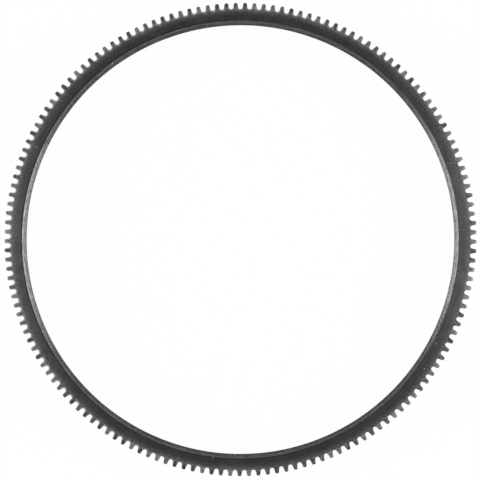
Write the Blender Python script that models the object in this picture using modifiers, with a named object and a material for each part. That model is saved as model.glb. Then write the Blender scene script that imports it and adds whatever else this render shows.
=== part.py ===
"""Starter ring gear for a flywheel: one steel ring with involute teeth round its outside.

Run with blender --background --python part.py, or from Blender's text editor.
Metres, +Z up. The ring lies flat on its back face at z = 0, with its axis on +Z and
the middle of a tooth gap on +X. The front face, at z = FACE_WIDTH, has the bore's
lead-in chamfer.

The ring is made the way the real one is: a blank is turned all over, and then a gap
is cut between each tooth and the next.
"""

import math

import bmesh
import bpy
from mathutils import Matrix, Vector

# Teeth: 12 for each inch of pitch diameter
TOOTH_COUNT = 157
TOOTH_MODULE = 0.002116667
PRESSURE_ANGLE = math.radians(12)
ADDENDUM_FACTOR = 1.0
WHOLE_DEPTH_FACTOR = 2.157
BACKLASH_THINNING = 0.0002
ROOT_FILLET_RADIUS = 0.0015
TIP_CORNER_BREAK = 0.00025

# Blank: 3/8 in wide, and 17/32 in from the bore to the tips
FACE_WIDTH = 0.009525
RADIAL_SECTION = 0.01349375
BORE_LEAD_CHAMFER = 0.0006
BORE_BACK_BREAK = 0.0003
TOOTH_END_CHAMFER = 0.0005

# How finely curved edges are cut into straight ones
FLANK_STEPS = 2
FILLET_STEPS = 3

# How far the gap cutter runs past the blank, over the tips and at each face
CUTTER_OVERRUN = 0.002

# Points that are closer than this are one
WELD_DISTANCE = 0.000001

PITCH_ANGLE = 2 * math.pi / TOOTH_COUNT
PITCH_RADIUS = TOOTH_COUNT * TOOTH_MODULE / 2
BASE_RADIUS = PITCH_RADIUS * math.cos(PRESSURE_ANGLE)
TIP_RADIUS = PITCH_RADIUS + ADDENDUM_FACTOR * TOOTH_MODULE
ROOT_RADIUS = TIP_RADIUS - WHOLE_DEPTH_FACTOR * TOOTH_MODULE
TOOTH_THICKNESS = math.pi * TOOTH_MODULE / 2 - BACKLASH_THINNING
BORE_RADIUS = TIP_RADIUS - RADIAL_SECTION

# Charcoal steel, as the turned faces look under soft light
STEEL_COLOUR = (0.085, 0.087, 0.092, 1.0)
STEEL_METALLIC = 0.85
STEEL_ROUGHNESS = 0.5

# Faces that meet at less than this are one smooth surface
SMOOTH_ANGLE = math.radians(30)


def clear_scene() -> None:
    """Remove whatever objects the scene starts with."""
    for obj in list(bpy.data.objects):
        bpy.data.objects.remove(obj, do_unlink=True)


def new_collection(name: str) -> bpy.types.Collection:
    """Return a new collection, linked to the scene."""
    collection = bpy.data.collections.new(name)
    bpy.context.scene.collection.children.link(collection)
    return collection


def steel() -> bpy.types.Material:
    """Return the ring's dark steel."""
    material = bpy.data.materials.new("turned_steel")
    material.use_nodes = True
    shader = material.node_tree.nodes["Principled BSDF"]
    shader.inputs["Base Color"].default_value = STEEL_COLOUR
    shader.inputs["Metallic"].default_value = STEEL_METALLIC
    shader.inputs["Roughness"].default_value = STEEL_ROUGHNESS
    return material


def polar(radius: float, angle: float) -> Vector:
    """Return the point at this radius and angle in the plane of the ring."""
    return Vector((radius * math.cos(angle), radius * math.sin(angle)))


def involute_angle(radius: float) -> float:
    """Return how far an involute has turned from its start on the base circle by this radius."""
    if radius <= BASE_RADIUS:
        return 0.0
    slope = math.acos(BASE_RADIUS / radius)
    return math.tan(slope) - slope


def gap_half_angle(radius: float) -> float:
    """Return the angle from the middle of a gap to its flank at this radius."""
    at_pitch_circle = PITCH_ANGLE / 2 - TOOTH_THICKNESS / (2 * PITCH_RADIUS)
    return at_pitch_circle + involute_angle(radius) - involute_angle(PITCH_RADIUS)


def rounded_corner(before: Vector, corner: Vector, after: Vector, radius: float) -> list[Vector]:
    """Return points along the arc that rounds a corner, no longer than its sides allow."""
    arriving = (corner - before).normalized()
    leaving = (after - corner).normalized()
    half_turn = arriving.angle(leaving) / 2
    setback = min(
        radius * math.tan(half_turn),
        (corner - before).length,
        (after - corner).length,
    )
    start = corner - arriving * setback
    inward = (leaving - arriving).normalized()
    centre = corner + inward * setback / math.sin(half_turn)
    spoke = start - centre
    turn = math.copysign(2 * half_turn, arriving.cross(leaving))
    return [
        centre + Matrix.Rotation(turn * step / FILLET_STEPS, 2) @ spoke
        for step in range(FILLET_STEPS + 1)
    ]


def gap_side() -> list[Vector]:
    """Return one side of a gap's outline, from outside the tips down to the rounded root.

    The flank is an involute, a small break takes off the tooth's corner at the tip,
    and a fillet joins the flank to the middle of the root.
    """
    break_start = TIP_RADIUS - TIP_CORNER_BREAK
    flank = [
        polar(radius, gap_half_angle(radius))
        for radius in (
            break_start + (ROOT_RADIUS - break_start) * step / FLANK_STEPS
            for step in range(FLANK_STEPS + 1)
        )
    ]
    outer_radius = TIP_RADIUS + CUTTER_OVERRUN
    opening = (TIP_CORNER_BREAK + CUTTER_OVERRUN) / TIP_RADIUS
    outermost = polar(outer_radius, gap_half_angle(break_start) + opening)
    root_corner = flank.pop()
    root_middle = Vector((root_corner.x, 0.0))
    fillet = rounded_corner(flank[-1], root_corner, root_middle, ROOT_FILLET_RADIUS)
    return [outermost, *flank, *fillet]


def gap_outline() -> list[Vector]:
    """Return the closed outline of the gap on +X.

    A fillet that reaches the middle of the root has its last point there, which the two
    sides share.
    """
    upper = gap_side()
    own = [point for point in upper if point.y > WELD_DISTANCE]
    lower = [Vector((point.x, -point.y)) for point in reversed(own)]
    return upper + lower


def gap_cutter(collection: bpy.types.Collection) -> bpy.types.Object:
    """Return one mesh that holds a cutter for every gap.

    The outlines are filled and extruded as a flat curve, and then made a mesh, because
    a Boolean takes no curve.
    """
    outline = gap_outline()
    curve = bpy.data.curves.new("gap_outlines", "CURVE")
    curve.dimensions = "2D"
    curve.fill_mode = "BOTH"
    curve.extrude = FACE_WIDTH / 2 + CUTTER_OVERRUN
    for gap in range(TOOTH_COUNT):
        turned = Matrix.Rotation(gap * PITCH_ANGLE, 2)
        spline = curve.splines.new("POLY")
        spline.points.add(len(outline) - 1)
        spline.use_cyclic_u = True
        for point, place in zip(spline.points, outline):
            point.co = (*(turned @ place), 0.0, 1.0)
    drawn = bpy.data.objects.new("gap_outlines", curve)
    collection.objects.link(drawn)
    drawn.location.z = FACE_WIDTH / 2
    bpy.context.view_layer.update()
    graph = bpy.context.evaluated_depsgraph_get()
    mesh = bpy.data.meshes.new_from_object(drawn.evaluated_get(graph))
    weld(mesh)
    cutter = bpy.data.objects.new("gap_cutter", mesh)
    cutter.matrix_world = drawn.matrix_world
    cutter.hide_render = True
    cutter.display_type = "WIRE"
    collection.objects.link(cutter)
    bpy.data.objects.remove(drawn, do_unlink=True)
    return cutter


def weld(mesh: bpy.types.Mesh) -> None:
    """Join the mesh's loose caps to its sides, with every face pointing out."""
    work = bmesh.new()
    work.from_mesh(mesh)
    bmesh.ops.remove_doubles(work, verts=work.verts, dist=WELD_DISTANCE)
    bmesh.ops.recalc_face_normals(work, faces=work.faces)
    work.to_mesh(mesh)
    work.free()


def blank_section() -> list[tuple[float, float]]:
    """Return the turned blank's section as (radius, height), down its outer side first.

    The blank's outside is as many-sided as the ring has teeth, with a flat over each
    tooth that just touches the tip circle, so its corners stand a little further out.
    """
    corner_radius = TIP_RADIUS / math.cos(PITCH_ANGLE / 2)
    return [
        (corner_radius - TOOTH_END_CHAMFER, FACE_WIDTH),
        (corner_radius, FACE_WIDTH - TOOTH_END_CHAMFER),
        (corner_radius, TOOTH_END_CHAMFER),
        (corner_radius - TOOTH_END_CHAMFER, 0.0),
        (BORE_RADIUS + BORE_BACK_BREAK, 0.0),
        (BORE_RADIUS, BORE_BACK_BREAK),
        (BORE_RADIUS, FACE_WIDTH - BORE_LEAD_CHAMFER),
        (BORE_RADIUS + BORE_LEAD_CHAMFER, FACE_WIDTH),
    ]


def turned_blank(name: str, collection: bpy.types.Collection) -> bpy.types.Object:
    """Return the blank: its section turned about +Z, one step for each tooth."""
    section = blank_section()
    corners = [(radius, 0.0, height) for radius, height in section]
    sides = [(corner, (corner + 1) % len(section)) for corner in range(len(section))]
    mesh = bpy.data.meshes.new(name)
    mesh.from_pydata(corners, sides, [])
    blank = bpy.data.objects.new(name, mesh)
    collection.objects.link(blank)
    lathe = blank.modifiers.new("lathe", "SCREW")
    lathe.axis = "Z"
    lathe.angle = 2 * math.pi
    lathe.steps = TOOTH_COUNT
    lathe.render_steps = TOOTH_COUNT
    lathe.use_merge_vertices = True
    lathe.merge_threshold = WELD_DISTANCE
    return blank


def cut_gaps(ring: bpy.types.Object, cutter: bpy.types.Object) -> None:
    """Take every gap out of the blank."""
    cut = ring.modifiers.new("gaps", "BOOLEAN")
    cut.operation = "DIFFERENCE"
    cut.solver = "EXACT"
    cut.object = cutter


def finish_mesh(ring: bpy.types.Object, material: bpy.types.Material) -> None:
    """Apply the modifiers, shade the round faces smooth and give the ring its steel."""
    bpy.context.view_layer.update()
    graph = bpy.context.evaluated_depsgraph_get()
    mesh = bpy.data.meshes.new_from_object(ring.evaluated_get(graph))
    mesh.name = ring.name
    ring.modifiers.clear()
    ring.data = mesh
    mesh.materials.clear()
    mesh.materials.append(material)
    mesh.shade_smooth()
    mesh.set_sharp_from_angle(angle=SMOOTH_ANGLE)


def main() -> None:
    """Build the ring gear."""
    clear_scene()
    parts = new_collection("flywheel_ring_gear")
    cutters = new_collection("cutters")
    ring = turned_blank("ring_gear", parts)
    cut_gaps(ring, gap_cutter(cutters))
    finish_mesh(ring, steel())


main()
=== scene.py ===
"""Looks of a starter ring gear for a flywheel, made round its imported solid.

The ring lies flat on its back face at z = 0, with its axis on +Z and the middle of a
tooth gap on +X. One sector of the ring, a tooth and the steel under it, is built as a
fine mesh. Geometry Nodes turn it round the axis once for each tooth, weld the copies
into one ring and wear the teeth a little. Four finishes dress it: dark turned faces
with a paler hardened band at the teeth, mottled hardened teeth, a bored seat with
streaks round the axis, and the brighter chamfer that leads into it.

Lengths are in metres and angles in radians.
"""

import logging
import math
from dataclasses import dataclass, field
from enum import Enum

import bmesh
import bpy
from mathutils import Matrix, Vector

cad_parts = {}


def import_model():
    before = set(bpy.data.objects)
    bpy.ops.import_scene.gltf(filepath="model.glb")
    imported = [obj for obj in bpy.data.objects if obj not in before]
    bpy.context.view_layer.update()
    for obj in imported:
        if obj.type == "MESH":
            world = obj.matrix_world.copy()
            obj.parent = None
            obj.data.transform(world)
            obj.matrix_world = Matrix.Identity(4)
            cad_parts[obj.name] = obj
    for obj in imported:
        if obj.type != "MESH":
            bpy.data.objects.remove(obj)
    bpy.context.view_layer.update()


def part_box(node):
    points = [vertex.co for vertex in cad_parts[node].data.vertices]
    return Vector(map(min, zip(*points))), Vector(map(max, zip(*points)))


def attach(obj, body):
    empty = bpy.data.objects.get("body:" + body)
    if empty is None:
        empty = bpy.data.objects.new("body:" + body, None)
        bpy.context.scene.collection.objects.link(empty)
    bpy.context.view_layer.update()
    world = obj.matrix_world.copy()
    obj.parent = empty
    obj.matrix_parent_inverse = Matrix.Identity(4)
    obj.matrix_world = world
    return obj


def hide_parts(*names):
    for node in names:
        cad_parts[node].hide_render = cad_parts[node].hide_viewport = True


LOG = logging.getLogger("ring_gear_scene")

NODE = "ring_gear"
BODY = "root"

Colour = tuple[float, float, float]
Span = tuple[float, float]
Row = list[bmesh.types.BMVert]
Sockets = bpy.types.bpy_prop_collection
Input = bpy.types.NodeSocket | bpy.types.Material | float | tuple[float, ...]

# The face attribute that holds each face's zone number
ZONE_ATTRIBUTE = "zone"

# Between which values most of a noise lies, and between which nearly all of it does
NOISE_MIDDLE: Span = (0.3, 0.7)
NOISE_REACH: Span = (0.2, 0.8)

# How deep the bump maps' relief is
RELIEF_DEPTH = 0.0001

# The shader's grooves lie across its tangent, and a quarter turn lays them along it
QUARTER_TURN = 0.25

# Sockets that share their names with others on the same node, by number
MIX_SHARE, MIX_LOW, MIX_HIGH, MIX_RESULT = 0, 6, 7, 2
COMPARE_FIRST, COMPARE_SECOND = 2, 3


class Zone(Enum):
    """Which finish a face of the ring takes. The value is the face's zone number."""

    FACE = 0
    TEETH = 1
    BORE = 2
    LEAD_IN = 3


@dataclass(frozen=True)
class GearForm:
    """Sizes of the toothed ring.

    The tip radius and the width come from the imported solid, and most of the rest are
    the sizes that the solid was made to. The gaps' bottoms and the teeth's corners and
    ends follow the real ring's roundings more closely than the solid's few faces do.
    """

    tip_radius: float
    width: float
    tooth_count: int = 157
    pressure_angle: float = math.radians(12)
    addendum_factor: float = 1.0
    whole_depth_factor: float = 2.125
    backlash_thinning: float = 0.0002
    root_fillet: float = 0.0016
    gap_rounding: float = 0.0014
    tip_corner_radius: float = 0.00038
    tooth_end_depth: float = 0.0005
    tooth_end_reach: float = 0.0023
    radial_section: float = 0.01349375
    bore_lead_chamfer: float = 0.0006
    bore_back_break: float = 0.0003

    @classmethod
    def from_solid(cls, node: str) -> "GearForm":
        """Read the ring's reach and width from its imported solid.

        Args:
            node: The solid's name.

        Returns:
            The form, with a tooth on -X touching the solid's lowest X.
        """
        low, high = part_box(node)
        return cls(tip_radius=-low.x, width=high.z - low.z)

    @property
    def module(self) -> float:
        """Pitch diameter for each tooth."""
        return self.tip_radius / (self.tooth_count / 2 + self.addendum_factor)

    @property
    def pitch_angle(self) -> float:
        """Angle from one tooth to the next."""
        return 2 * math.pi / self.tooth_count

    @property
    def pitch_radius(self) -> float:
        """Radius of the circle that rolls on the pinion's."""
        return self.tooth_count * self.module / 2

    @property
    def base_radius(self) -> float:
        """Radius of the circle that the involutes unwind from."""
        return self.pitch_radius * math.cos(self.pressure_angle)

    @property
    def root_radius(self) -> float:
        """Radius at the bottom of the gaps."""
        return self.tip_radius - self.whole_depth_factor * self.module

    @property
    def bore_radius(self) -> float:
        """Radius of the bored seat."""
        return self.tip_radius - self.radial_section

    def involute_angle(self, radius: float) -> float:
        """Return how far an involute has turned from the base circle by this radius."""
        slope = math.acos(min(self.base_radius / radius, 1.0))
        return math.tan(slope) - slope

    def tooth_half_angle(self, radius: float) -> float:
        """Work out the width of a tooth.

        Args:
            radius: Where on the tooth.

        Returns:
            The angle from the middle of the tooth to its flank.
        """
        thickness = math.pi * self.module / 2 - self.backlash_thinning
        at_pitch_circle = thickness / (2 * self.pitch_radius)
        turned = self.involute_angle(radius) - self.involute_angle(self.pitch_radius)
        return at_pitch_circle - turned


def polar(radius: float, angle: float) -> Vector:
    """Return the point at this radius and angle in the plane of the ring."""
    return Vector((radius * math.cos(angle), radius * math.sin(angle)))


def opaque(colour: Colour) -> tuple[float, float, float, float]:
    """Return a colour with full alpha."""
    return (*colour, 1.0)


def grey(level: float) -> tuple[float, float, float, float]:
    """Return an opaque grey of this level."""
    return opaque((level, level, level))


def rounded_corner(
    before: Vector, corner: Vector, after: Vector, radius: float, steps: int
) -> list[Vector]:
    """Round a corner by an arc that is no longer than its sides allow.

    Args:
        before: A point on the side that leads to the corner.
        corner: The sharp corner.
        after: A point on the side that leaves it.
        radius: The arc's radius.
        steps: How many straight pieces the arc is made of.

    Returns:
        The arc's points, from the first side to the second.
    """
    arriving = (corner - before).normalized()
    leaving = (after - corner).normalized()
    half_turn = arriving.angle(leaving) / 2
    setback = min(
        radius * math.tan(half_turn), (corner - before).length, (after - corner).length
    )
    start = corner - arriving * setback
    inward = (leaving - arriving).normalized()
    centre = corner + inward * setback / math.sin(half_turn)
    turn = math.copysign(2 * half_turn, arriving.cross(leaving))
    return [
        centre + Matrix.Rotation(turn * step / steps, 2) @ (start - centre)
        for step in range(steps + 1)
    ]


class ZonedMesh:
    """A mesh in the making, whose faces carry the numbers of their zones."""

    def __init__(self) -> None:
        """Start with nothing in it."""
        self.work = bmesh.new()
        self.zones = self.work.faces.layers.int.new(ZONE_ATTRIBUTE)

    def row(self, radius: float, angles: list[float], height: float) -> Row:
        """Add a row of points at one radius and height, and return it."""
        spots = [polar(radius, angle) for angle in angles]
        return [self.work.verts.new((spot.x, spot.y, height)) for spot in spots]

    def strip(self, lower: Row, upper: Row, kind: Zone) -> None:
        """Add the faces between two rows of points.

        Args:
            lower: The row that is the lower one when it is seen from outside with both
                rows running from right to left.
            upper: The other row.
            kind: The faces' zone.
        """
        for corners in zip(lower, upper, upper[1:], lower[1:]):
            face = self.work.faces.new(corners)
            face[self.zones] = kind.value
            face.smooth = True

    def finished(self, name: str) -> bpy.types.Mesh:
        """Turn the work into a mesh.

        Args:
            name: The mesh's name.

        Returns:
            The mesh, with the zone numbers in a face attribute.
        """
        mesh = bpy.data.meshes.new(name)
        self.work.to_mesh(mesh)
        self.work.free()
        return mesh


@dataclass
class ToothSector:
    """One tooth and the steel under it, from the middle of one gap to the next.

    The tooth is centred on +X. Each row of points runs across the tooth at one radius,
    from the rounded root up to the tip, and more rows run on from the root across the
    front face, down the bore and back along the back face.
    """

    form: GearForm
    columns: int = 2
    flank_steps: int = 4
    fillet_steps: int = 4
    corner_steps: int = 2

    def rows(self) -> list[tuple[float, float]]:
        """Draw one side of the tooth.

        Returns:
            The radius and the half angle of each row, from the root to the tip.
        """
        form = self.form
        gap_middle = polar(form.root_radius, form.pitch_angle / 2)
        root = polar(form.root_radius, form.tooth_half_angle(form.root_radius))
        pitch = polar(form.pitch_radius, form.tooth_half_angle(form.pitch_radius))
        fillet = rounded_corner(gap_middle, root, pitch, form.root_fillet, self.fillet_steps)
        flank_foot = fillet[-1].length
        flank_top = form.tip_radius - form.tip_corner_radius
        flank = [
            flank_foot + (flank_top - flank_foot) * step / self.flank_steps
            for step in range(1, self.flank_steps + 1)
        ]
        crest = rounded_corner(
            polar(flank_top, form.tooth_half_angle(flank_top)),
            polar(form.tip_radius, form.tooth_half_angle(form.tip_radius)),
            polar(form.tip_radius, 0.0),
            form.tip_corner_radius,
            self.corner_steps,
        )
        return [
            *((point.length, math.atan2(point.y, point.x)) for point in fillet),
            *((radius, form.tooth_half_angle(radius)) for radius in flank),
            *((point.length, math.atan2(point.y, point.x)) for point in crest),
        ]

    def end_depth(self, radius: float) -> float:
        """Work out how the tooth's end rounds over towards the tip.

        Args:
            radius: Where on the tooth's end.

        Returns:
            How far the end has dropped from the ring's face there.
        """
        reach = self.form.tooth_end_reach
        depth = self.form.tooth_end_depth
        past = max(0.0, radius - (self.form.tip_radius - reach))
        bend = (reach**2 + depth**2) / (2 * depth)
        return bend - math.sqrt(bend**2 - past**2)

    def mesh(self, name: str) -> bpy.types.Mesh:
        """Build the sector.

        Args:
            name: The mesh's name.

        Returns:
            A mesh that is open only at the middles of the two gaps.
        """
        made = ZonedMesh()
        front = self._tooth_end(made, is_front=True)
        back = self._tooth_end(made, is_front=False)
        made.strip(self._outline(front), self._outline(back), Zone.TEETH)
        self._rim(made, front[0], back[0])
        return made.finished(name)

    def _tooth_end(self, made: ZonedMesh, is_front: bool) -> list[Row]:
        """Build one end of the tooth.

        Args:
            made: The sector so far.
            is_front: Whether this is the end at the front face.

        Returns:
            The end's rows of points, from the root to the tip.
        """
        shares = [2 * column / self.columns - 1 for column in range(self.columns + 1)]
        grid = []
        for radius, half_angle in self.rows():
            depth = self.end_depth(radius)
            height = self.form.width - depth if is_front else depth
            grid.append(made.row(radius, [half_angle * share for share in shares], height))
        for inner, outer in zip(grid, grid[1:]):
            lower, upper = (inner, outer) if is_front else (outer, inner)
            made.strip(lower, upper, Zone.TEETH)
        return grid

    @staticmethod
    def _outline(grid: list[Row]) -> Row:
        """Follow the edge of a tooth's end.

        Args:
            grid: The end's rows of points.

        Returns:
            The points from gap to gap: up one flank, over the tip, down the other.
        """
        up = [row[0] for row in grid]
        down = [row[-1] for row in reversed(grid)]
        return [*up, *grid[-1][1:-1], *down]

    def _rim(self, made: ZonedMesh, front_root: Row, back_root: Row) -> None:
        """Join the root's front row to its back row, over the two faces and the bore.

        Args:
            made: The sector so far.
            front_root: The lowest row of the tooth's front end.
            back_root: The lowest row of its back end.
        """
        form = self.form
        front_edge = form.bore_radius + form.bore_lead_chamfer
        back_edge = form.bore_radius + form.bore_back_break
        section = (
            ((form.root_radius + front_edge) / 2, form.width, Zone.FACE),
            (front_edge, form.width, Zone.FACE),
            (form.bore_radius, form.width - form.bore_lead_chamfer, Zone.LEAD_IN),
            (form.bore_radius, form.bore_back_break, Zone.BORE),
            (back_edge, 0.0, Zone.BORE),
            ((form.root_radius + back_edge) / 2, 0.0, Zone.FACE),
        )
        angles = [math.atan2(vertex.co.y, vertex.co.x) for vertex in front_root]
        outer = front_root
        for radius, height, kind in section:
            inner = made.row(radius, angles, height)
            made.strip(inner, outer, kind)
            outer = inner
        made.strip(back_root, outer, Zone.FACE)


class NodeSketch:
    """Adds nodes to a tree and joins them, so that a tree reads like a formula."""

    def __init__(self, tree: bpy.types.NodeTree) -> None:
        """Take the tree to add to."""
        self.tree = tree

    def add(
        self, kind: str, inputs: dict[str | int, Input] | None = None, **settings: str
    ) -> bpy.types.Node:
        """Add one node.

        Args:
            kind: The node's type.
            inputs: Each input's name or number, with a constant or another node's output.
            settings: The node's own properties.

        Returns:
            The new node.
        """
        node = self.tree.nodes.new(kind)
        for name, value in settings.items():
            setattr(node, name, value)
        self.fill(node, inputs or {})
        return node

    def fill(self, node: bpy.types.Node, inputs: dict[str | int, Input]) -> None:
        """Set or join a node's inputs.

        Args:
            node: The node.
            inputs: Each input's name or number, with a constant or another node's output.
        """
        for name, value in inputs.items():
            if isinstance(value, bpy.types.NodeSocket):
                self.tree.links.new(value, node.inputs[name])
            else:
                node.inputs[name].default_value = value

    def math(self, operation: str, *values: Input, clamp: bool = False) -> Input:
        """Do one sum on numbers.

        Args:
            operation: The sum's name.
            values: Its numbers.
            clamp: Whether the result is kept between 0 and 1.

        Returns:
            The result.
        """
        node = self.add("ShaderNodeMath", dict(enumerate(values)), operation=operation)
        node.use_clamp = clamp
        return node.outputs["Value"]

    def vector(self, operation: str, *values: Input) -> Input:
        """Return the vector that one sum on vectors gives."""
        node = self.add("ShaderNodeVectorMath", dict(enumerate(values)), operation=operation)
        return node.outputs["Vector"]

    def measure(self, operation: str, *vectors: Input) -> Input:
        """Return the number that one sum on vectors gives."""
        node = self.add("ShaderNodeVectorMath", dict(enumerate(vectors)), operation=operation)
        return node.outputs["Value"]

    def times(self, vector: Input, factor: Input) -> Input:
        """Return a vector made this many times as long."""
        node = self.add("ShaderNodeVectorMath", {0: vector, "Scale": factor}, operation="SCALE")
        return node.outputs["Vector"]

    def flat(self, vector: Input) -> Input:
        """Return the part of a vector that lies in the plane of the ring."""
        return self.vector("MULTIPLY", vector, (1.0, 1.0, 0.0))

    def joined(self, x: Input = 0.0, y: Input = 0.0, z: Input = 0.0) -> Input:
        """Return the vector with these parts along the axes."""
        return self.add("ShaderNodeCombineXYZ", {"X": x, "Y": y, "Z": z}).outputs["Vector"]

    def blend(self, share: Input, low: Input, high: Input, mode: str = "MIX") -> Input:
        """Mix two colours, or lay one over the other.

        Args:
            share: How much of the second colour shows.
            low: The first colour.
            high: The second colour.
            mode: How the second is laid over the first.

        Returns:
            The new colour.
        """
        colours = {MIX_SHARE: share, MIX_LOW: low, MIX_HIGH: high}
        node = self.add("ShaderNodeMix", colours, data_type="RGBA", blend_type=mode)
        return node.outputs[MIX_RESULT]

    def shaded(self, colour: Input, tone: Input) -> Input:
        """Return the colour made lighter or darker by a number."""
        return self.blend(1.0, colour, self.joined(tone, tone, tone), "MULTIPLY")

    def ramp(self, value: Input, span: Span, low: Input = 0.0, high: Input = 1.0) -> Input:
        """Make a smooth climb.

        Args:
            value: What the climb follows.
            span: Where the climb starts and ends.
            low: Its result at the start and before it.
            high: Its result at the end and past it.

        Returns:
            A number from low to high.
        """
        start, end = span
        node = self.add(
            "ShaderNodeMapRange",
            {"Value": value, "From Min": start, "From Max": end, "To Min": low, "To Max": high},
            interpolation_type="SMOOTHSTEP",
        )
        return node.outputs["Result"]

    def relief(self, height: Input, strength: float) -> Input:
        """Return the normal of a surface with this relief on it."""
        inputs = {"Strength": strength, "Distance": RELIEF_DEPTH, "Height": height}
        return self.add("ShaderNodeBump", inputs).outputs["Normal"]


@dataclass
class RingTree:
    """Geometry Nodes that make a whole ring of one sector.

    The tree turns the sector once for each tooth, welds the copies, wears the teeth
    by a noise, springs the thin ring slightly out of round and gives each zone its
    finish.
    """

    wear_size: float = 0.0016
    wear_depth: float = 0.00005
    seed: int = 11
    spring: float = 0.0002
    long_axis: float = math.radians(75)

    def build(self) -> bpy.types.NodeTree:
        """Build the tree.

        Returns:
            The tree, whose copies are realized before they are welded, and which ends in
            Set Material.
        """
        tree = bpy.data.node_groups.new("ring_of_teeth", "GeometryNodeTree")
        tree.interface.new_socket("Ring", in_out="OUTPUT", socket_type="NodeSocketGeometry")
        for name, kind in (
            ("Sector", "NodeSocketGeometry"),
            ("Tooth Count", "NodeSocketInt"),
            ("Weld Distance", "NodeSocketFloat"),
            ("Root Radius", "NodeSocketFloat"),
            ("Wear Size", "NodeSocketFloat"),
            ("Wear Depth", "NodeSocketFloat"),
            ("Seed", "NodeSocketInt"),
            ("Spring", "NodeSocketFloat"),
            ("Long Axis", "NodeSocketFloat"),
            *((self.finish_input(zone), "NodeSocketMaterial") for zone in Zone),
        ):
            tree.interface.new_socket(name, in_out="INPUT", socket_type=kind)
        sketch = NodeSketch(tree)
        given = sketch.add("NodeGroupInput").outputs
        ring = self._turned_copies(sketch, given)
        ring = self._worn(sketch, given, ring)
        ring = self._sprung(sketch, given, ring)
        ring = self._dressed(sketch, given, ring)
        sketch.add("NodeGroupOutput", {"Ring": ring})
        return tree

    @staticmethod
    def finish_input(zone: Zone) -> str:
        """Return the name of the input that holds this zone's finish."""
        return f"{zone.name.title().replace('_', ' ')} Finish"

    @staticmethod
    def _turned_copies(sketch: NodeSketch, given: Sockets) -> Input:
        """Turn the sector into every tooth's place and weld the copies.

        Args:
            sketch: The tree's nodes.
            given: The tree's inputs.

        Returns:
            The ring so far.
        """
        count = given["Tooth Count"]
        spots = sketch.add("GeometryNodePoints", {"Count": count}).outputs["Points"]
        index = sketch.add("GeometryNodeInputIndex").outputs["Index"]
        # Half a tooth on, because a gap's middle is on +X
        place = sketch.math("ADD", index, 0.5)
        turn = sketch.math("DIVIDE", sketch.math("MULTIPLY", place, 2 * math.pi), count)
        copies = sketch.add(
            "GeometryNodeInstanceOnPoints",
            {"Points": spots, "Instance": given["Sector"], "Rotation": sketch.joined(z=turn)},
        ).outputs["Instances"]
        loose = sketch.add("GeometryNodeRealizeInstances", {"Geometry": copies}).outputs["Geometry"]
        return sketch.add(
            "GeometryNodeMergeByDistance", {"Geometry": loose, "Distance": given["Weld Distance"]}
        ).outputs["Geometry"]

    @staticmethod
    def _worn(sketch: NodeSketch, given: Sockets, ring: Input) -> Input:
        """Make the teeth slightly uneven, and leave the rim and the bore alone.

        Args:
            sketch: The tree's nodes.
            given: The tree's inputs.
            ring: The ring so far.

        Returns:
            The worn ring.
        """
        position = sketch.add("GeometryNodeInputPosition").outputs["Position"]
        radius = sketch.measure("LENGTH", sketch.flat(position))
        on_tooth = sketch.math("GREATER_THAN", radius, given["Root Radius"])
        fineness = sketch.math("DIVIDE", 1.0, given["Wear Size"])
        noise = sketch.add(
            "ShaderNodeTexNoise",
            {"Vector": position, "W": given["Seed"], "Scale": fineness, "Detail": 1.0},
            noise_dimensions="4D",
        ).outputs["Fac"]
        uneven = sketch.math("MULTIPLY", sketch.math("SUBTRACT", noise, 0.5), on_tooth)
        height = sketch.math("MULTIPLY", uneven, given["Wear Depth"])
        normal = sketch.add("GeometryNodeInputNormal").outputs["Normal"]
        shift = sketch.times(normal, height)
        return sketch.add("GeometryNodeSetPosition", {"Geometry": ring, "Offset": shift}).outputs[0]

    @staticmethod
    def _sprung(sketch: NodeSketch, given: Sockets, ring: Input) -> Input:
        """Spring the ring out along its long axis and in across it.

        Args:
            sketch: The tree's nodes.
            given: The tree's inputs.
            ring: The ring so far.

        Returns:
            The sprung ring.
        """
        position = sketch.add("GeometryNodeInputPosition").outputs["Position"]
        outward = sketch.vector("NORMALIZE", sketch.flat(position))
        axes = sketch.add("ShaderNodeSeparateXYZ", {0: position}).outputs
        angle = sketch.math("ARCTAN2", axes["Y"], axes["X"])
        turned = sketch.math("MULTIPLY", sketch.math("SUBTRACT", angle, given["Long Axis"]), 2.0)
        reach = sketch.math("MULTIPLY", sketch.math("COSINE", turned), given["Spring"])
        shift = sketch.times(outward, reach)
        return sketch.add("GeometryNodeSetPosition", {"Geometry": ring, "Offset": shift}).outputs[0]

    def _dressed(self, sketch: NodeSketch, given: Sockets, ring: Input) -> Input:
        """Give each zone its finish.

        Args:
            sketch: The tree's nodes.
            given: The tree's inputs.
            ring: The ring so far.

        Returns:
            The dressed ring.
        """
        for zone in Zone:
            number = sketch.add(
                "GeometryNodeInputNamedAttribute", {"Name": ZONE_ATTRIBUTE}, data_type="INT"
            ).outputs["Attribute"]
            chosen = sketch.add(
                "FunctionNodeCompare",
                {COMPARE_FIRST: number, COMPARE_SECOND: zone.value},
                data_type="INT",
                operation="EQUAL",
            ).outputs["Result"]
            finish = given[self.finish_input(zone)]
            ring = sketch.add(
                "GeometryNodeSetMaterial", {"Geometry": ring, "Selection": chosen, "Material": finish}
            ).outputs["Geometry"]
        return ring


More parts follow.
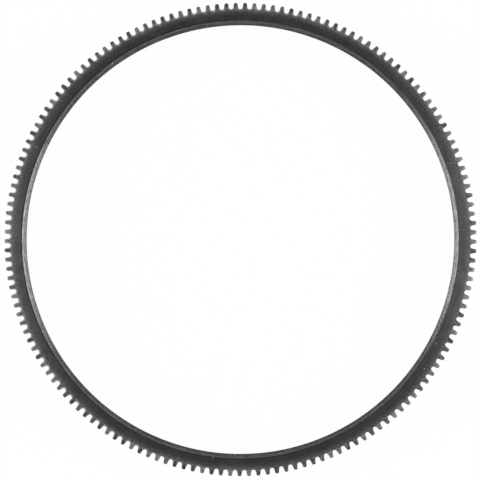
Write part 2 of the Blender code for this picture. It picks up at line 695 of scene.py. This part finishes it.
@dataclass(frozen=True)
class RingPlace:
    """Where a point of the surface lies round the ring, as sockets of one material."""

    sketch: NodeSketch
    position: Input
    radius: Input
    height: Input
    angle: Input
    heading: Input

    @classmethod
    def of(cls, sketch: NodeSketch) -> "RingPlace":
        """Read the place from the object's own coordinates.

        Args:
            sketch: The material's nodes.

        Returns:
            The point's position, its distance from the axis, its height over the back
            face, its angle round the axis and its heading, which is a point on a circle
            of radius one and so has no seam.
        """
        position = sketch.add("ShaderNodeTexCoord").outputs["Object"]
        axes = sketch.add("ShaderNodeSeparateXYZ", {0: position}).outputs
        flat = sketch.flat(position)
        return cls(
            sketch=sketch,
            position=position,
            radius=sketch.measure("LENGTH", flat),
            height=axes["Z"],
            angle=sketch.math("ARCTAN2", axes["Y"], axes["X"]),
            heading=sketch.vector("NORMALIZE", flat),
        )

    def round_axis(self) -> Input:
        """Return the direction that runs round the axis here."""
        return self.sketch.vector("CROSS_PRODUCT", (0.0, 0.0, 1.0), self.heading)


@dataclass(frozen=True)
class Side:
    """One side of the ring, where a tone shows more than elsewhere.

    The span says where between the far side, -1, and this side, 1, the tone starts and
    where it is full.
    """

    angle: float
    span: Span = (-1.0, 1.0)

    def nearness(self, place: RingPlace) -> Input:
        """Return 1 on this side, -1 on the far side, and between them round the ring."""
        pointer = (math.cos(self.angle), math.sin(self.angle), 0.0)
        return place.sketch.measure("DOT_PRODUCT", place.heading, pointer)

    def share(self, place: RingPlace, low: float = 0.0, high: float = 1.0) -> Input:
        """Return a number that climbs from low to high over the span."""
        return place.sketch.ramp(self.nearness(place), self.span, low, high)

    def lean(self, place: RingPlace, middle: Input, more: float) -> Input:
        """Return the middle number with this much more on this side, and less on the far one."""
        return place.sketch.math("MULTIPLY_ADD", self.nearness(place), more, middle)


@dataclass(frozen=True)
class Grain:
    """An even noise, with this many changes for each metre.

    Where it is looked up in scaled coordinates, they take the metre's place.
    """

    fineness: float
    detail: float = 2.0
    rough: float = 0.5

    def over(self, sketch: NodeSketch, position: Input) -> Input:
        """Add the noise.

        Args:
            sketch: The material's nodes.
            position: Where the noise is looked up.

        Returns:
            A number between 0 and 1.
        """
        node = sketch.add(
            "ShaderNodeTexNoise",
            {
                "Vector": position,
                "Scale": self.fineness,
                "Detail": self.detail,
                "Roughness": self.rough,
            },
        )
        return node.outputs["Fac"]


@dataclass(frozen=True)
class Streaks:
    """A noise drawn out round the ring, as turning and boring leave it.

    It changes this many times for each radian along a streak, and this many times for
    each metre across.
    """

    turns: float
    fineness: float
    detail: float = 2.0
    rough: float = 0.5

    def over(self, place: RingPlace, across: Input) -> Input:
        """Add the noise.

        Args:
            place: Where the point lies.
            across: What the streaks are narrow in, the radius or the height.

        Returns:
            A number between 0 and 1.
        """
        sketch = place.sketch
        along = sketch.times(place.heading, self.turns)
        side = sketch.joined(z=sketch.math("MULTIPLY", across, self.fineness))
        return Grain(1.0, self.detail, self.rough).over(sketch, sketch.vector("ADD", along, side))


@dataclass(frozen=True)
class GapEdgeAndHighlight:
    """The edge of each gap's rounded root, rubbed pale when its burr was taken off.

    On one side of the ring, towards the left lamp, it is painted paler still: a painted
    highlight.
    """

    form: GearForm
    tone: Colour = (0.36, 0.358, 0.34)
    reach: float = 0.0016
    highlight_side: Side = Side(math.radians(155), (-0.9, 1.0))
    most: float = 0.8

    def laid_over(self, place: RingPlace, colour: Input) -> Input:
        """Lay the rubbed edge's tone, with its painted highlight, over a colour.

        Args:
            place: Where the point lies.
            colour: The colour so far.

        Returns:
            The new colour.
        """
        sketch = place.sketch
        # Painted highlight: the pale edge is painted strongest towards the left lamp and fades out on
        # the far side
        most = self.highlight_side.share(place, high=self.most)
        share = sketch.math("MULTIPLY", self._nearness(place), most)
        return sketch.blend(share, colour, opaque(self.tone))

    def _nearness(self, place: RingPlace) -> Input:
        """Find how near the next gap's rounded root is.

        Args:
            place: Where the point lies.

        Returns:
            1 at the edge of the root, falling to 0 at the reach from it.
        """
        sketch = place.sketch
        rounding = self.form.gap_rounding
        turned = sketch.math("DIVIDE", place.angle, self.form.pitch_angle)
        beside = sketch.math("SUBTRACT", turned, sketch.math("ROUND", turned))
        off_middle = sketch.math("MULTIPLY", beside, self.form.pitch_angle)
        across = sketch.math("MULTIPLY", off_middle, place.radius)
        rise = sketch.math("SUBTRACT", place.radius, self.form.root_radius + rounding)
        below = sketch.math("MINIMUM", rise, 0.0)
        far = sketch.measure("LENGTH", sketch.joined(across, below))
        near = sketch.ramp(far, (rounding + self.reach, rounding))
        return sketch.math("MULTIPLY", near, sketch.ramp(rise, (rounding, 0.0)))


@dataclass(frozen=True)
class Mark:
    """A small mark that handling or rust has left at one place on the ring.

    It covers what lies within a round spot this wide and this tall, and fades from its
    inner part to its edge.
    """

    angle: float
    radius: float
    height: float
    width: float
    tallness: float
    tone: Colour
    strength: float
    fade: Span = (1.0, 0.3)

    def laid_over(self, place: RingPlace, colour: Input) -> Input:
        """Lay the mark's tone over a colour.

        Args:
            place: Where the point lies.
            colour: The colour so far.

        Returns:
            The new colour.
        """
        sketch = place.sketch
        centre = polar(self.radius, self.angle)
        offset = sketch.vector("SUBTRACT", place.position, (centre.x, centre.y, self.height))
        shares = (2 / self.width, 2 / self.width, 2 / self.tallness)
        far = sketch.measure("LENGTH", sketch.vector("MULTIPLY", offset, shares))
        share = sketch.ramp(far, self.fade, 0.0, self.strength)
        return sketch.blend(share, colour, opaque(self.tone))


def new_finish(name: str) -> tuple[bpy.types.Material, NodeSketch, bpy.types.Node]:
    """Start a material.

    Args:
        name: The material's name.

    Returns:
        The material, a sketch of its nodes and its Principled BSDF.
    """
    material = bpy.data.materials.new(name)
    material.use_nodes = True
    shader = material.node_tree.nodes["Principled BSDF"]
    return material, NodeSketch(material.node_tree), shader


@dataclass(frozen=True)
class TurnedFace:
    """The two faces of the rim: charcoal turned steel, with pale scale near the teeth.

    The scale is what hardening the teeth leaves. It is matt, so the steel's own shine
    goes down as the scale gets thicker. The steel is painted a little paler towards +X,
    a painted light where the right lamp falls, and the edge by the bore is darker, most
    of all on one side. The glance tone, here and in the other finishes, is how bright
    the steel stays at a glancing angle.
    """

    form: GearForm
    body: Colour = (0.0368, 0.0368, 0.0382)
    body_pale: Colour = (0.0530, 0.0530, 0.0549)
    turning: Streaks = Streaks(turns=9.0, fineness=2200.0, detail=3.0, rough=0.6)
    # Painted light: the side towards +X, where the right lamp falls, is painted paler
    lit_side: Side = Side(0.0, (0.2, 1.0))
    lit_side_painted_light: float = 1.11
    edge_dark: Colour = (0.0225, 0.0225, 0.0240)
    edge_width: float = 0.0018
    edge_side: Side = Side(math.radians(180))
    edge_least: float = 0.3
    scale: Colour = (0.162, 0.161, 0.155)
    scale_depth: float = 0.0062
    scale_ragged: float = 0.0006
    scale_power: float = 3.0
    scale_most: float = 0.5
    scale_side: Side = Side(math.radians(160))
    scale_lean: float = 0.15
    scale_cover: float = 5.5
    grit: Grain = Grain(fineness=1000.0, rough=0.6)
    speckle: float = 1.1
    scale_speckle: float = 3.0
    cloud: Grain = Grain(fineness=90.0, detail=3.0)
    cloud_shade: Span = (0.9, 1.1)
    fleck: Colour = (0.30, 0.30, 0.29)
    fleck_size: float = 0.0024
    fleck_share: float = 0.012
    fleck_fade: Span = (0.28, 0.12)
    fleck_strength: float = 0.7
    stain: Mark = Mark(
        angle=math.radians(125.7),
        radius=0.156,
        height=0.0095,
        width=0.0042,
        tallness=0.004,
        tone=(0.036, 0.033, 0.029),
        strength=0.7,
    )
    ridges: Streaks = Streaks(turns=4.0, fineness=3500.0)
    grit_relief: float = 0.6
    relief: float = 0.25
    roughness: Span = (0.54, 0.67)
    glance_tone: float = 0.55
    anisotropy: float = 0.72

    def material(self) -> bpy.types.Material:
        """Build the finish.

        Returns:
            The material.
        """
        material, sketch, shader = new_finish("turned_face")
        place = RingPlace.of(sketch)
        marks = sketch.ramp(self.turning.over(place, place.radius), NOISE_MIDDLE)
        grit = self.grit.over(sketch, place.position)
        colour = sketch.blend(marks, opaque(self.body), opaque(self.body_pale))
        # Painted light: the steel is painted paler towards +X, where the right lamp falls
        colour = sketch.shaded(colour, self.lit_side.share(place, 1.0, self.lit_side_painted_light))
        colour = sketch.blend(self._edge_share(place), colour, opaque(self.edge_dark))
        scale = self._scale_share(place, grit)
        colour = sketch.blend(scale, colour, opaque(self.scale))
        # A pale rubbed edge round each gap's root, with a painted highlight towards the left lamp
        colour = GapEdgeAndHighlight(self.form).laid_over(place, colour)
        colour = sketch.blend(self._flecks(place), colour, opaque(self.fleck))
        colour = sketch.shaded(colour, self._unevenness(place, grit, scale))
        colour = self.stain.laid_over(place, colour)
        cover = sketch.math("MULTIPLY_ADD", scale, self.scale_cover, 1.0)
        ridges = self.ridges.over(place, place.radius)
        relief = sketch.math("ADD", ridges, sketch.math("MULTIPLY", grit, self.grit_relief))
        sketch.fill(
            shader,
            {
                "Base Color": colour,
                "Metallic": sketch.math("DIVIDE", 1.0, cover),
                "Roughness": sketch.ramp(grit, NOISE_REACH, *self.roughness),
                "Specular Tint": grey(self.glance_tone),
                "Anisotropic": self.anisotropy,
                "Anisotropic Rotation": QUARTER_TURN,
                "Tangent": place.round_axis(),
                "Normal": sketch.relief(relief, self.relief),
            },
        )
        return material

    def _edge_share(self, place: RingPlace) -> Input:
        """Find the dark edge by the bore.

        Args:
            place: Where the point lies.

        Returns:
            How much of the edge's tone shows.
        """
        edge = self.form.bore_radius + self.form.bore_lead_chamfer
        near = place.sketch.ramp(place.radius, (edge + self.edge_width, edge))
        return place.sketch.math("MULTIPLY", near, self.edge_side.share(place, self.edge_least))

    def _scale_share(self, place: RingPlace, grit: Input) -> Input:
        """Find the hardening scale, which is thickest at the roots.

        Args:
            place: Where the point lies.
            grit: The steel's fine noise, which makes the scale's edge ragged.

        Returns:
            How much of the steel it covers.
        """
        sketch = place.sketch
        root = self.form.root_radius
        shift = sketch.ramp(grit, NOISE_REACH, -self.scale_ragged, self.scale_ragged)
        ragged = sketch.math("ADD", place.radius, shift)
        climb = sketch.add(
            "ShaderNodeMapRange",
            {"Value": ragged, "From Min": root - self.scale_depth, "From Max": root},
        ).outputs["Result"]
        most = self.scale_side.lean(place, self.scale_most, self.scale_lean * self.scale_most)
        return sketch.math("MULTIPLY", sketch.math("POWER", climb, self.scale_power), most)

    def _unevenness(self, place: RingPlace, grit: Input, scale: Input) -> Input:
        """Shade the steel by soft clouds and by speckle, which the scale has more of.

        Args:
            place: Where the point lies.
            grit: The steel's fine noise.
            scale: How much of the scale covers it.

        Returns:
            How light or dark it is here.
        """
        sketch = place.sketch
        cloud = sketch.ramp(self.cloud.over(sketch, place.position), NOISE_MIDDLE, *self.cloud_shade)
        contrast = sketch.math("MULTIPLY_ADD", scale, self.scale_speckle, self.speckle)
        speckle = sketch.math("MULTIPLY_ADD", sketch.math("SUBTRACT", grit, 0.5), contrast, 1.0)
        return sketch.math("MULTIPLY", speckle, cloud)

    def _flecks(self, place: RingPlace) -> Input:
        """Scatter a few bright flecks of bare steel.

        Args:
            place: Where the point lies.

        Returns:
            How much of a fleck shows.
        """
        sketch = place.sketch
        cells = sketch.add(
            "ShaderNodeTexVoronoi",
            {"Vector": place.position, "Scale": 1 / self.fleck_size},
            feature="F1",
        ).outputs
        number = sketch.add(
            "ShaderNodeTexWhiteNoise", {"Vector": cells["Position"]}, noise_dimensions="3D"
        ).outputs["Value"]
        rare = sketch.math("GREATER_THAN", number, 1 - self.fleck_share)
        near = sketch.ramp(cells["Distance"], self.fleck_fade)
        return sketch.math("MULTIPLY", sketch.math("MULTIPLY", rare, near), self.fleck_strength)


@dataclass(frozen=True)
class HardenedTeeth:
    """The teeth: hobbed, then heated and quenched, which leaves a mottled warm grey.

    Each tooth has a tone of its own, and the hob's feed leaves fine ridges across it.
    The teeth are painted a little paler towards +X, a painted light where the right
    lamp falls.
    """

    form: GearForm
    dark: Colour = (0.030, 0.0296, 0.0281)
    pale: Colour = (0.174, 0.172, 0.164)
    # Painted light: the side towards which the teeth are painted paler, and by how much
    painted_light_side: Side = Side(0.0)
    painted_light_lead: float = 0.035
    own_spread: float = 0.19
    mottle: Grain = Grain(fineness=1 / 0.0009, detail=3.0, rough=0.75)
    mottle_edge: Span = (0.4, 0.6)
    grit: Grain = Grain(fineness=1800.0)
    feed: float = 0.0011
    feed_relief: float = 0.35
    relief: float = 0.3
    metallic: float = 0.8
    roughness: Span = (0.51, 0.67)
    glance_tone: float = 0.6

    def material(self) -> bpy.types.Material:
        """Build the finish.

        Returns:
            The material.
        """
        material, sketch, shader = new_finish("hardened_teeth")
        place = RingPlace.of(sketch)
        mottle = self.mottle.over(sketch, place.position)
        grit = self.grit.over(sketch, place.position)
        own = sketch.math("MULTIPLY_ADD", self._own_tone(place), self.own_spread, mottle)
        share = sketch.math("SUBTRACT", own, self.own_spread / 2)
        # Painted light: the teeth are painted a little paler towards +X, where the right lamp falls
        share = self.painted_light_side.lean(place, share, self.painted_light_lead)
        share = sketch.ramp(share, self.mottle_edge)
        colour = sketch.blend(share, opaque(self.dark), opaque(self.pale))
        # A pale rubbed edge round each gap's root, with a painted highlight towards the left lamp
        colour = GapEdgeAndHighlight(self.form).laid_over(place, colour)
        feed = sketch.math("SINE", sketch.math("MULTIPLY", place.height, 2 * math.pi / self.feed))
        relief = sketch.math("ADD", sketch.math("MULTIPLY", feed, self.feed_relief), grit)
        sketch.fill(
            shader,
            {
                "Base Color": colour,
                "Metallic": self.metallic,
                "Roughness": sketch.ramp(grit, NOISE_REACH, *self.roughness),
                "Specular Tint": grey(self.glance_tone),
                "Normal": sketch.relief(relief, self.relief),
            },
        )
        return material

    def _own_tone(self, place: RingPlace) -> Input:
        """Draw a number for each tooth.

        Args:
            place: Where the point lies.

        Returns:
            A number between 0 and 1 that is the same all over a tooth.
        """
        sketch = place.sketch
        count = self.form.tooth_count
        number = sketch.math("FLOOR", sketch.math("DIVIDE", place.angle, self.form.pitch_angle))
        number = sketch.math("MODULO", sketch.math("ADD", number, count), count)
        own = sketch.add("ShaderNodeTexWhiteNoise", {"W": number}, noise_dimensions="1D")
        return own.outputs["Value"]


@dataclass(frozen=True)
class BoredSeat:
    """The bore and its back edge: bored steel with streaks round the axis.

    Its foot, at the back, is darkened by painted shade, less so on one side, and the
    whole seat is painted a little lighter towards +X and darker towards -X, as painted
    light. Dark spots crowd the lower half, and one side is tempered a little redder.
    """

    form: GearForm
    name: str = "bored_seat"
    dark: Colour = (0.060, 0.060, 0.0605)
    bright: Colour = (0.160, 0.160, 0.1605)
    streaks: Streaks = Streaks(turns=14.0, fineness=900.0, detail=4.0, rough=0.62)
    patches: Streaks = Streaks(turns=30.0, fineness=260.0)
    patch_share: float = 0.35
    # Painted shade at the foot, by the floor: how high it reaches, how dark it is, and how much
    # lighter on one side
    painted_shade_reach: float = 0.8
    foot_painted_shade: float = 0.72
    lit_side: Side = Side(math.radians(128), (0.3, 0.95))
    foot_painted_shade_lit_side: float = 0.98
    shade: float = 0.96
    side: Side = Side(math.radians(180))
    # Painted light: the seat is painted a little darker towards -X and lighter towards +X
    painted_light_by_side: float = -0.03
    spot_size: tuple[float, float, float] = (0.0012, 0.0012, 0.0028)
    spot_noise: Grain = Grain(fineness=1.0, detail=1.5, rough=0.6)
    spot_lean: Span = (-0.03, 0.07)
    spot_edge: Span = (0.48, 0.62)
    spot_shade: float = 0.5
    temper: Colour = (1.03, 0.967, 0.99)
    temper_side: Side = Side(math.radians(-75), (0.1, 0.8))
    nicks: tuple[Mark, ...] = (
        Mark(
            angle=math.radians(125.5),
            radius=0.155,
            height=0.0088,
            width=0.0014,
            tallness=0.002,
            tone=(0.48, 0.48, 0.47),
            strength=1.0,
        ),
        Mark(
            angle=math.radians(268.3),
            radius=0.1548,
            height=0.004,
            width=0.0011,
            tallness=0.0056,
            tone=(0.24, 0.235, 0.23),
            strength=0.9,
        ),
    )
    ridges: Streaks = Streaks(turns=5.0, fineness=4000.0)
    relief: float = 0.25
    metallic: float = 0.88
    roughness: Span = (0.56, 0.44)
    glance_tone: float = 0.5
    anisotropy: float = 0.97

    def material(self) -> bpy.types.Material:
        """Build the finish.

        Returns:
            The material.
        """
        material, sketch, shader = new_finish(self.name)
        place = RingPlace.of(sketch)
        streaks = self.streaks.over(place, place.height)
        patches = sketch.math("MULTIPLY", self.patches.over(place, place.height), self.patch_share)
        share = sketch.math("ADD", sketch.math("MULTIPLY", streaks, 1 - self.patch_share), patches)
        share = sketch.ramp(share, NOISE_MIDDLE)
        colour = sketch.blend(share, opaque(self.dark), opaque(self.bright))
        # Painted shade: the seat darkens towards the floor, less so on one side
        colour = sketch.shaded(colour, self._painted_foot_shade(place))
        colour = sketch.shaded(colour, self._spots(place))
        # Painted light: the tone leans from +X to -X, darker on the seat and brighter on the lead-in,
        # a painted highlight
        colour = sketch.shaded(colour, self.side.lean(place, self.shade, self.painted_light_by_side))
        tempered = self.temper_side.share(place)
        colour = sketch.blend(tempered, colour, opaque(self.temper), "MULTIPLY")
        for nick in self.nicks:
            colour = nick.laid_over(place, colour)
        ridges = self.ridges.over(place, place.height)
        sketch.fill(
            shader,
            {
                "Base Color": colour,
                "Metallic": self.metallic,
                "Roughness": sketch.ramp(streaks, NOISE_MIDDLE, *self.roughness),
                "Specular Tint": grey(self.glance_tone),
                "Anisotropic": self.anisotropy,
                "Anisotropic Rotation": QUARTER_TURN,
                "Tangent": place.round_axis(),
                "Normal": sketch.relief(ridges, self.relief),
            },
        )
        return material

    def _painted_foot_shade(self, place: RingPlace) -> Input:
        """Paint shade on the foot, by the floor.

        Args:
            place: Where the point lies.

        Returns:
            How dark the painted shade makes the seat here, up to 1 above it.
        """
        sketch = place.sketch
        darkest_at_floor = self.lit_side.share(place, self.foot_painted_shade, self.foot_painted_shade_lit_side)
        climb = sketch.ramp(place.height, (0.0, self.form.width * self.painted_shade_reach))
        above = sketch.math("MULTIPLY", climb, sketch.math("SUBTRACT", 1.0, darkest_at_floor))
        return sketch.math("ADD", darkest_at_floor, above)

    def _spots(self, place: RingPlace) -> Input:
        """Shade the dark spots, which crowd the lower half of the seat.

        Args:
            place: Where the point lies.

        Returns:
            How dark the seat is here, up to 1 beside the spots.
        """
        sketch = place.sketch
        finer = tuple(1 / size for size in self.spot_size)
        noise = self.spot_noise.over(sketch, sketch.vector("MULTIPLY", place.position, finer))
        crowding = sketch.ramp(place.height, (self.form.width, 0.0), *self.spot_lean)
        spotted = sketch.ramp(sketch.math("ADD", noise, crowding), self.spot_edge)
        return sketch.math("MULTIPLY_ADD", spotted, self.spot_shade - 1.0, 1.0)


@dataclass(frozen=True)
class LeadIn(BoredSeat):
    """The lead-in chamfer: bored like the seat, then rubbed brighter and less grooved, with
    a painted highlight that is strongest towards -X.
    """

    name: str = "lead_in"
    dark: Colour = (0.083, 0.083, 0.0835)
    bright: Colour = (0.128, 0.128, 0.1285)
    spot_shade: float = 0.75
    shade: float = 1.17
    # Painted highlight: the lead-in is painted brighter towards -X
    painted_light_by_side: float = 0.25
    anisotropy: float = 0.93


@dataclass
class ToothedRing:
    """The ring: one sector repeated round the axis, with softened edges."""

    form: GearForm
    tree: RingTree = field(default_factory=RingTree)
    weld_distance: float = 0.00001
    edge_softness: float = 0.00011
    edge_steps: int = 1
    sharpest_flat: float = math.radians(35)

    def build(self) -> bpy.types.Object:
        """Build and dress the ring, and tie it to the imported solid.

        Returns:
            The finished piece.
        """
        ring = bpy.data.objects.new("toothed_ring", ToothSector(self.form).mesh("toothed_ring"))
        bpy.context.scene.collection.objects.link(ring)
        self._repeat(ring)
        self._soften(ring)
        self._bake(ring)
        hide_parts(NODE)
        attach(ring, BODY)
        return ring

    def _finishes(self) -> dict[Zone, bpy.types.Material]:
        """Build the four finishes.

        Returns:
            Each zone's finish.
        """
        return {
            Zone.FACE: TurnedFace(self.form).material(),
            Zone.TEETH: HardenedTeeth(self.form).material(),
            Zone.BORE: BoredSeat(self.form).material(),
            Zone.LEAD_IN: LeadIn(self.form).material(),
        }

    def _repeat(self, ring: bpy.types.Object) -> None:
        """Repeat the sector for each tooth.

        Args:
            ring: The object, with one sector as its mesh.
        """
        group = self.tree.build()
        modifier = ring.modifiers.new("ring_of_teeth", "NODES")
        modifier.node_group = group
        values = {
            "Tooth Count": self.form.tooth_count,
            "Weld Distance": self.weld_distance,
            "Root Radius": self.form.root_radius,
            "Wear Size": self.tree.wear_size,
            "Wear Depth": self.tree.wear_depth,
            "Seed": self.tree.seed,
            "Spring": self.tree.spring,
            "Long Axis": self.tree.long_axis,
            **{self.tree.finish_input(zone): finish for zone, finish in self._finishes().items()},
        }
        for item in group.interface.items_tree:
            if item.in_out == "INPUT" and item.name in values:
                modifier[item.identifier] = values[item.name]

    def _soften(self, ring: bpy.types.Object) -> None:
        """Round every sharp edge a little, and join the points that this leaves too close.

        Args:
            ring: The whole ring.
        """
        bevel = ring.modifiers.new("softened_edges", "BEVEL")
        bevel.width = self.edge_softness
        bevel.segments = self.edge_steps
        bevel.limit_method = "ANGLE"
        bevel.angle_limit = self.sharpest_flat
        bevel.harden_normals = True
        slivers = ring.modifiers.new("joined_slivers", "WELD")
        slivers.merge_threshold = self.weld_distance

    @staticmethod
    def _bake(ring: bpy.types.Object) -> None:
        """Turn the modifiers' result into the object's own plain mesh.

        Args:
            ring: The ring with its modifiers.
        """
        bpy.context.view_layer.update()
        graph = bpy.context.evaluated_depsgraph_get()
        mesh = bpy.data.meshes.new_from_object(ring.evaluated_get(graph))
        ring.modifiers.clear()
        ring.data = mesh
        mesh.name = ring.name


@dataclass(frozen=True)
class SoftLamp:
    """A rectangular soft lamp that shines at the middle of the ring.

    Its direction is an azimuth round +Z from +X, and an elevation over the floor. It
    stands this far away, and is this wide and this high.
    """

    name: str
    azimuth: float
    elevation: float
    distance: float
    width: float
    height: float
    watts: float

    def build(self) -> bpy.types.Object:
        """Place the lamp and turn it to the ring.

        Returns:
            The lamp, which the camera doesn't see.
        """
        light = bpy.data.lights.new(self.name, "AREA")
        light.shape = "RECTANGLE"
        light.size = self.width
        light.size_y = self.height
        light.energy = self.watts
        lamp = bpy.data.objects.new(self.name, light)
        flat = polar(self.distance * math.cos(self.elevation), self.azimuth)
        lamp.location = Vector((flat.x, flat.y, self.distance * math.sin(self.elevation)))
        lamp.rotation_euler = (-lamp.location).to_track_quat("-Z", "Y").to_euler()
        lamp.visible_camera = False
        bpy.context.scene.collection.objects.link(lamp)
        return lamp


@dataclass(frozen=True)
class Studio:
    """A pale floor, a low soft lamp at each side and a pale room."""

    floor_side: float = 6.0
    floor_drop: float = 0.0002
    floor_colour: Colour = (0.95, 0.95, 0.95)
    floor_roughness: float = 0.9
    floor_glow: float = 0.98
    sky: float = 0.1
    lamps: tuple[SoftLamp, ...] = (
        SoftLamp(
            name="left_lamp",
            azimuth=math.radians(182),
            elevation=math.radians(9.5),
            distance=3.0,
            width=2.75,
            height=0.9,
            watts=245.0,
        ),
        SoftLamp(
            name="right_lamp",
            azimuth=0.0,
            elevation=math.radians(13.5),
            distance=3.0,
            width=2.6,
            height=0.9,
            watts=205.0,
        ),
    )

    def build(self) -> list[bpy.types.Object]:
        """Build the floor, the room and the lamps.

        Returns:
            The floor and the lamps.
        """
        floor = self._floor()
        self._room()
        return [floor, *(lamp.build() for lamp in self.lamps)]

    @staticmethod
    def _seen(sketch: NodeSketch) -> Input:
        """Tell the rays that look at the background from those that light the ring.

        Args:
            sketch: The nodes of the floor or the room.

        Returns:
            1 for rays from the camera, and for those that metal or glass sends on.
        """
        path = sketch.add("ShaderNodeLightPath").outputs
        seen = sketch.math("ADD", path["Is Camera Ray"], path["Is Glossy Ray"])
        return sketch.math("ADD", seen, path["Is Transmission Ray"], clamp=True)

    def _floor(self) -> bpy.types.Object:
        """Build the floor, just under the ring.

        Returns:
            The floor.
        """
        half = self.floor_side / 2
        drop = -self.floor_drop
        corners = [(-half, -half, drop), (half, -half, drop), (half, half, drop), (-half, half, drop)]
        mesh = bpy.data.meshes.new("floor")
        mesh.from_pydata(corners, [], [(0, 1, 2, 3)])
        floor = bpy.data.objects.new("floor", mesh)
        bpy.context.scene.collection.objects.link(floor)
        mesh.materials.append(self._floor_finish())
        return floor

    def _floor_finish(self) -> bpy.types.Material:
        """Build the floor's finish, matt and pale, and nearly white where it is looked at.

        Returns:
            The material.
        """
        material, sketch, shader = new_finish("pale_floor")
        sketch.fill(
            shader,
            {
                "Base Color": opaque(self.floor_colour),
                "Roughness": self.floor_roughness,
                "Specular IOR Level": 0.0,
            },
        )
        glow = sketch.add("ShaderNodeEmission", {"Strength": 1.0})
        share = sketch.math("MULTIPLY", self._seen(sketch), self.floor_glow)
        mixed = sketch.add("ShaderNodeMixShader", {0: share, 1: shader.outputs[0], 2: glow.outputs[0]})
        sketch.fill(material.node_tree.nodes["Material Output"], {"Surface": mixed.outputs[0]})
        return material

    def _room(self) -> None:
        """Build a room that looks white and lights the ring softly."""
        world = bpy.data.worlds.new("pale_room")
        world.use_nodes = True
        sketch = NodeSketch(world.node_tree)
        strength = sketch.math("MULTIPLY_ADD", self._seen(sketch), 1 - self.sky, self.sky)
        background = world.node_tree.nodes["Background"]
        sketch.fill(background, {"Color": grey(1.0), "Strength": strength})
        bpy.context.scene.world = world


@dataclass(frozen=True)
class PhotoCamera:
    """A camera nearly straight over the ring.

    The camera stands a few millimetres to the right of the ring's axis and below it
    in the picture, and looks at a point close to the axis.
    """

    height: float = 0.5361
    stand: tuple[float, float] = (0.00348, -0.00506)
    aim: tuple[float, float] = (0.0, -0.00071)
    field_of_view: float = math.radians(35.31)
    roll: float = math.radians(-0.479)
    nearest: float = 0.01

    def build(self, face_height: float) -> bpy.types.Object:
        """Place the camera.

        Args:
            face_height: The height of the ring's front face.

        Returns:
            The camera, set as the scene's own.
        """
        data = bpy.data.cameras.new("camera")
        data.sensor_fit = "HORIZONTAL"
        data.angle = self.field_of_view
        data.clip_start = self.nearest
        camera = bpy.data.objects.new("camera", data)
        place = Vector((*self.stand, face_height + self.height))
        target = Vector((*self.aim, face_height))
        back = (place - target).normalized()
        right = Vector((0.0, 1.0, 0.0)).cross(back).normalized()
        up = back.cross(right)
        turned = Matrix((right, up, back)).transposed() @ Matrix.Rotation(self.roll, 3, "Z")
        camera.matrix_world = Matrix.Translation(place) @ turned.to_4x4()
        bpy.context.scene.collection.objects.link(camera)
        bpy.context.scene.camera = camera
        return camera


def main() -> None:
    """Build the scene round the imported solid, and report each piece."""
    logging.basicConfig(level=logging.INFO, format="%(message)s")
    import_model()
    form = GearForm.from_solid(NODE)
    for item in Studio().build():
        LOG.info("%s: %s", item.name, item.type.lower())
    camera = PhotoCamera().build(form.width)
    LOG.info("%s: %s", camera.name, camera.type.lower())
    ring = ToothedRing(form).build()
    LOG.info("%s: %d faces", ring.name, len(ring.data.polygons))
    bpy.context.scene.view_settings.view_transform = "Standard"
    bpy.context.view_layer.update()


if __name__ == "__main__":
    main()
